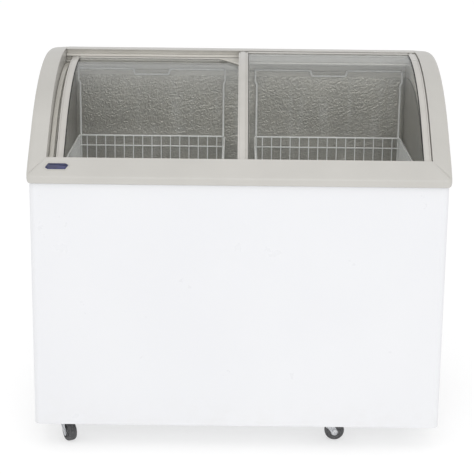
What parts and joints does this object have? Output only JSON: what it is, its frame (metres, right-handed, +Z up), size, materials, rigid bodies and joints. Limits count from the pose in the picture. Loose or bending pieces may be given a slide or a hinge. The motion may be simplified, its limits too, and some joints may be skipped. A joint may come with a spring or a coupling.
{
  "type": "chest freezer",
  "caption": "Chest freezer with a curved glass top of two sliding lids, a grey moulded collar, a white steel cabinet, lift-out wire baskets and swivel casters.",
  "frame": {"origin": "on the floor, at the bottom centre of the freezer", "axes": "+X to the right of someone facing the front, +Y to the rear, +Z up"},
  "size_m": [1.02, 0.656, 0.9375],
  "materials": {
    "cabinet_white": "gloss",
    "collar_grey": "satin",
    "lid_frame": "satin",
    "inner_grey": "satin",
    "lid_glass": "polished",
    "liner_aluminium": "satin",
    "zinc": "satin",
    "coated_wire": "satin",
    "wheel_grey": "matte",
    "black_steel": "satin",
    "dark_plastic": "matte",
    "display_window": "gloss",
    "copper": "satin",
    "foam": "matte",
    "rubber": "matte"
  },
  "bodies": {
    "cabinet": {"outer_shell": "cabinet_white", "rear_panel": "cabinet_white", "rear_vent_grille": "cabinet_white", "side_vent_grille": "cabinet_white", "base_pan": "zinc", "compressor_bed": "zinc", "foam_insulation": "foam", "inner_liner": "liner_aluminium", "evaporator_coil": "copper", "condenser_coil": "copper", "suction_pipe": "copper", "discharge_pipe": "copper", "filter_drier": "copper", "front_fascia": "collar_grey", "left_cheek": "collar_grey", "right_cheek": "collar_grey", "rear_deck": "collar_grey", "front_lid_track": "collar_grey", "rear_lid_track": "collar_grey", "inner_collar": "inner_grey", "display_bezel": "collar_grey", "display_window": "display_window", "compressor": "black_steel", "relay_cover": "dark_plastic", "drain_tube": "dark_plastic", "thermostat_plate": "dark_plastic", "cable_gland": "dark_plastic", "caster_front_left_plate": "zinc", "caster_front_right_plate": "zinc", "caster_rear_left_plate": "zinc", "caster_rear_right_plate": "zinc"},
    "upper_lid": {"upper_lid_glass": "lid_glass", "upper_lid_front_rail": "lid_frame", "upper_lid_rear_rail": "lid_frame", "upper_lid_left_stile": "lid_frame", "upper_lid_right_stile": "lid_frame"},
    "lower_lid": {"lower_lid_glass": "lid_glass", "lower_lid_front_rail": "lid_frame", "lower_lid_rear_rail": "lid_frame", "lower_lid_left_stile": "lid_frame", "lower_lid_right_stile": "lid_frame", "lower_lid_gusset": "lid_frame"},
    "left_basket": {"left_basket": "coated_wire", "left_basket_hoop": "coated_wire"},
    "right_basket": {"right_basket": "coated_wire", "right_basket_hoop": "coated_wire"},
    "thermostat_knob": {"thermostat_knob": "dark_plastic"},
    "drain_plug": {"drain_plug": "rubber"},
    "caster_front_left": {"caster_front_left_fork": "zinc", "caster_front_left_axle": "zinc"},
    "caster_front_left_wheel": {"caster_front_left_wheel": "wheel_grey"},
    "caster_front_right": {"caster_front_right_fork": "zinc", "caster_front_right_axle": "zinc"},
    "caster_front_right_wheel": {"caster_front_right_wheel": "wheel_grey"},
    "caster_rear_left": {"caster_rear_left_fork": "zinc", "caster_rear_left_axle": "zinc"},
    "caster_rear_left_wheel": {"caster_rear_left_wheel": "wheel_grey"},
    "caster_rear_right": {"caster_rear_right_fork": "zinc", "caster_rear_right_axle": "zinc"},
    "caster_rear_right_wheel": {"caster_rear_right_wheel": "wheel_grey"}
  },
  "joints": [
    {"name": "upper_lid_slide", "type": "slide", "parent": "cabinet", "child": "upper_lid", "axis": [1, 0, 0], "range_m": [-0.458, 0]},
    {"name": "lower_lid_slide", "type": "slide", "parent": "cabinet", "child": "lower_lid", "axis": [1, 0, 0], "range_m": [0, 0.422]},
    {"name": "left_basket_lift", "type": "slide", "parent": "cabinet", "child": "left_basket", "axis": [0, 0, 1], "range_m": [0, 0.018]},
    {"name": "right_basket_lift", "type": "slide", "parent": "cabinet", "child": "right_basket", "axis": [0, 0, 1], "range_m": [0, 0.018]},
    {"name": "thermostat_turn", "type": "hinge", "parent": "cabinet", "child": "thermostat_knob", "pos_m": [0.455, 0.325, 0.372], "axis": [0, 1, 0], "range_deg": [0, 270]},
    {"name": "drain_plug_pull", "type": "slide", "parent": "cabinet", "child": "drain_plug", "axis": [0, 0, 1], "range_m": [0, 0.03]},
    {"name": "caster_front_left_swivel", "type": "hinge", "parent": "cabinet", "child": "caster_front_left", "pos_m": [-0.436, -0.25, 0.055], "axis": [0, 0, 1], "continuous": true},
    {"name": "caster_front_left_roll", "type": "hinge", "parent": "caster_front_left", "child": "caster_front_left_wheel", "pos_m": [-0.4235, -0.27165, 0.025], "axis": [0.866, 0.5, 0], "continuous": true},
    {"name": "caster_front_right_swivel", "type": "hinge", "parent": "cabinet", "child": "caster_front_right", "pos_m": [0.225, -0.245, 0.055], "axis": [0, 0, 1], "continuous": true},
    {"name": "caster_front_right_roll", "type": "hinge", "parent": "caster_front_right", "child": "caster_front_right_wheel", "pos_m": [0.25, -0.245, 0.025], "axis": [0, 1, 0], "continuous": true},
    {"name": "caster_rear_left_swivel", "type": "hinge", "parent": "cabinet", "child": "caster_rear_left", "pos_m": [-0.436, 0.25, 0.055], "axis": [0, 0, 1], "continuous": true},
    {"name": "caster_rear_left_roll", "type": "hinge", "parent": "caster_rear_left", "child": "caster_rear_left_wheel", "pos_m": [-0.42953, 0.27415, 0.025], "axis": [-0.9659, 0.2588, 0], "continuous": true},
    {"name": "caster_rear_right_swivel", "type": "hinge", "parent": "cabinet", "child": "caster_rear_right", "pos_m": [0.436, 0.25, 0.055], "axis": [0, 0, 1], "continuous": true},
    {"name": "caster_rear_right_roll", "type": "hinge", "parent": "caster_rear_right", "child": "caster_rear_right_wheel", "pos_m": [0.41685, 0.26607, 0.025], "axis": [-0.6428, -0.766, 0], "continuous": true}
  ]
}
